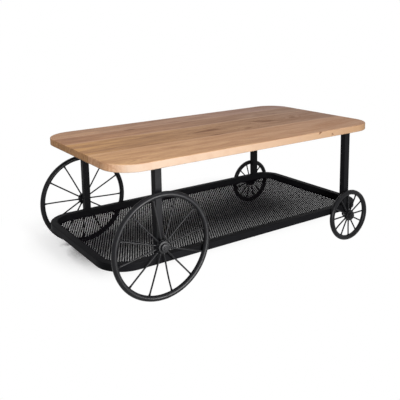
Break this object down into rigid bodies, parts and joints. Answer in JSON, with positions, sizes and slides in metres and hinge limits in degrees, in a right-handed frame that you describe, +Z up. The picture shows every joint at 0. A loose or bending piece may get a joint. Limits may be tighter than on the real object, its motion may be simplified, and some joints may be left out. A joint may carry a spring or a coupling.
{
  "type": "coffee table",
  "caption": "Cart-style coffee table: thick solid-wood top on square-tube legs, low tray with a diamond mesh floor, large spoked wheels at one end and small ones at the other.",
  "frame": {"origin": "on the floor, under the middle of the whole table's box", "axes": "+X along the table's length from the large wheels to the small ones, +Y from front to back, +Z up"},
  "size_m": [1.175, 0.647, 0.456],
  "materials": {
    "top_wood": "oiled solid wood",
    "frame_steel": "matt black powder coat",
    "mesh_steel": "matt black powder coat on expanded metal",
    "wheel_steel": "matt black powder coat",
    "zinc_fastener": "bright zinc plating"
  },
  "bodies": {
    "root": {"front_board": "top_wood", "front_middle_board": "top_wood", "back_middle_board": "top_wood", "back_board": "top_wood", "front_left_leg": "frame_steel", "back_left_leg": "frame_steel", "front_right_leg": "frame_steel", "back_right_leg": "frame_steel", "front_left_leg_plate": "frame_steel", "back_left_leg_plate": "frame_steel", "front_right_leg_plate": "frame_steel", "back_right_leg_plate": "frame_steel", "plate_screws": "zinc_fastener", "tray_rim_left": "frame_steel", "tray_rim_right": "frame_steel", "tray_mesh": "mesh_steel", "front_axle_bracket": "frame_steel", "back_axle_bracket": "frame_steel", "front_left_axle": "frame_steel", "back_left_axle": "frame_steel", "front_right_axle": "frame_steel", "back_right_axle": "frame_steel", "axle_washers": "zinc_fastener", "axle_nuts": "zinc_fastener"},
    "front_left_wheel": {"front_left_wheel_rim": "wheel_steel", "front_left_wheel_spokes": "wheel_steel", "front_left_wheel_hub": "wheel_steel", "front_left_wheel_cap": "wheel_steel"},
    "back_left_wheel": {"back_left_wheel_rim": "wheel_steel", "back_left_wheel_spokes": "wheel_steel", "back_left_wheel_hub": "wheel_steel", "back_left_wheel_cap": "wheel_steel"},
    "front_right_wheel": {"front_right_wheel_rim": "wheel_steel", "front_right_wheel_spokes": "wheel_steel", "front_right_wheel_hub": "wheel_steel", "front_right_wheel_cap": "wheel_steel"},
    "back_right_wheel": {"back_right_wheel_rim": "wheel_steel", "back_right_wheel_spokes": "wheel_steel", "back_right_wheel_hub": "wheel_steel", "back_right_wheel_cap": "wheel_steel"}
  },
  "joints": [
    {"name": "front_left_wheel_spin", "type": "hinge", "parent": "root", "child": "front_left_wheel", "pos_m": [-0.4095, -0.303, 0.178], "axis": [0, 1, 0], "continuous": true},
    {"name": "back_left_wheel_spin", "type": "hinge", "parent": "root", "child": "back_left_wheel", "pos_m": [-0.4095, 0.303, 0.178], "axis": [0, 1, 0], "continuous": true},
    {"name": "front_right_wheel_spin", "type": "hinge", "parent": "root", "child": "front_right_wheel", "pos_m": [0.4435, -0.303, 0.101], "axis": [0, 1, 0], "continuous": true},
    {"name": "back_right_wheel_spin", "type": "hinge", "parent": "root", "child": "back_right_wheel", "pos_m": [0.4435, 0.303, 0.101], "axis": [0, 1, 0], "continuous": true}
  ]
}
